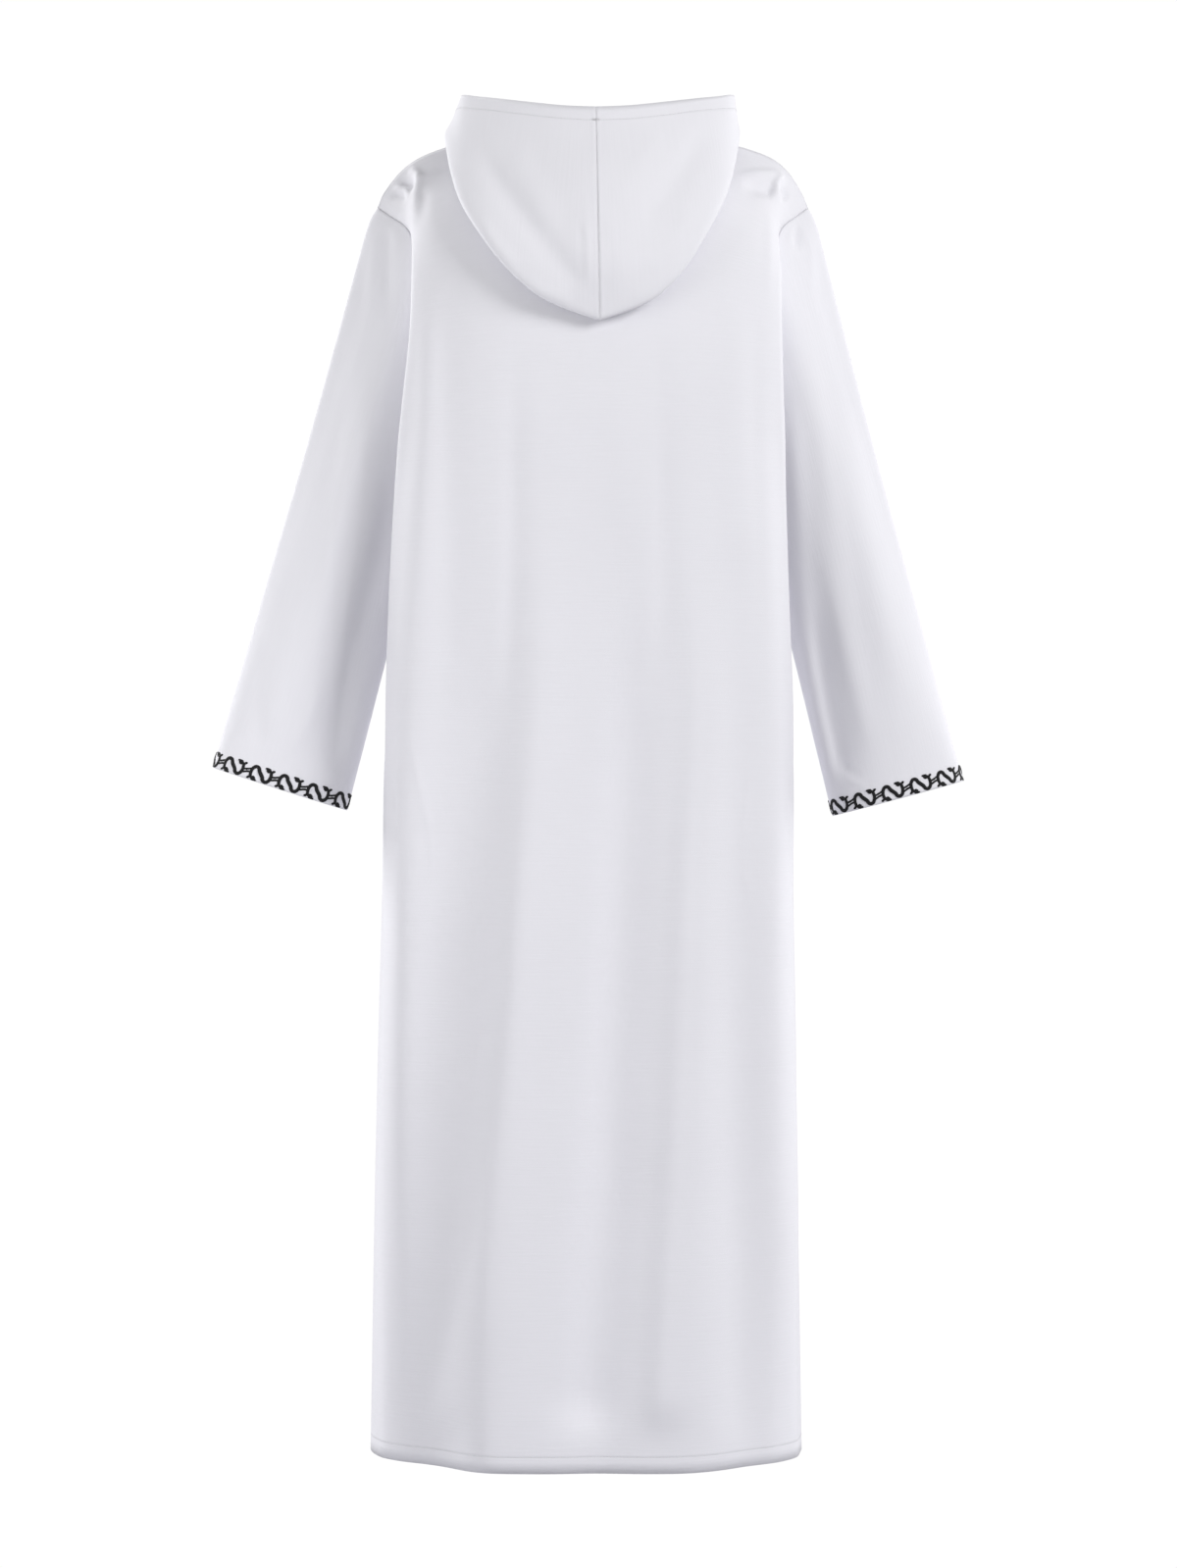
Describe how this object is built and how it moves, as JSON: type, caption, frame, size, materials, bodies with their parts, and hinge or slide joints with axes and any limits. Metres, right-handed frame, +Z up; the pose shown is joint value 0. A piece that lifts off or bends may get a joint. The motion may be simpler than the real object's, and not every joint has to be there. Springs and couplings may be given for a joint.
{
  "type": "hooded qamis",
  "caption": "Ankle-length hooded robe with long straight sleeves and a black corded scroll at the cuffs, hollow and filled out as worn, hood laid back.",
  "frame": {"origin": "on the body's centre line at the height where the shoulders carry the robe, between the two neck points", "axes": "+Z up along the body, -Y towards the garment's front, +X towards the wearer's left"},
  "size_m": [0.7971, 0.3386, 1.4325],
  "materials": {
    "white_cotton": "matt woven cloth with a faint slub and soft sheen",
    "pocketing": "matt plain-woven pocketing",
    "black_thread": "satin-stitched embroidery thread and couched cord"
  },
  "bodies": {
    "root": {"back_panel": "white_cotton", "front_panel": "white_cotton", "sleeve_left": "white_cotton", "sleeve_right": "white_cotton", "hood_left": "white_cotton", "hood_right": "white_cotton", "pocket_bag_left": "pocketing", "pocket_bag_right": "pocketing", "cuff_cord_left": "black_thread", "cuff_cord_right": "black_thread"}
  },
  "joints": []
}
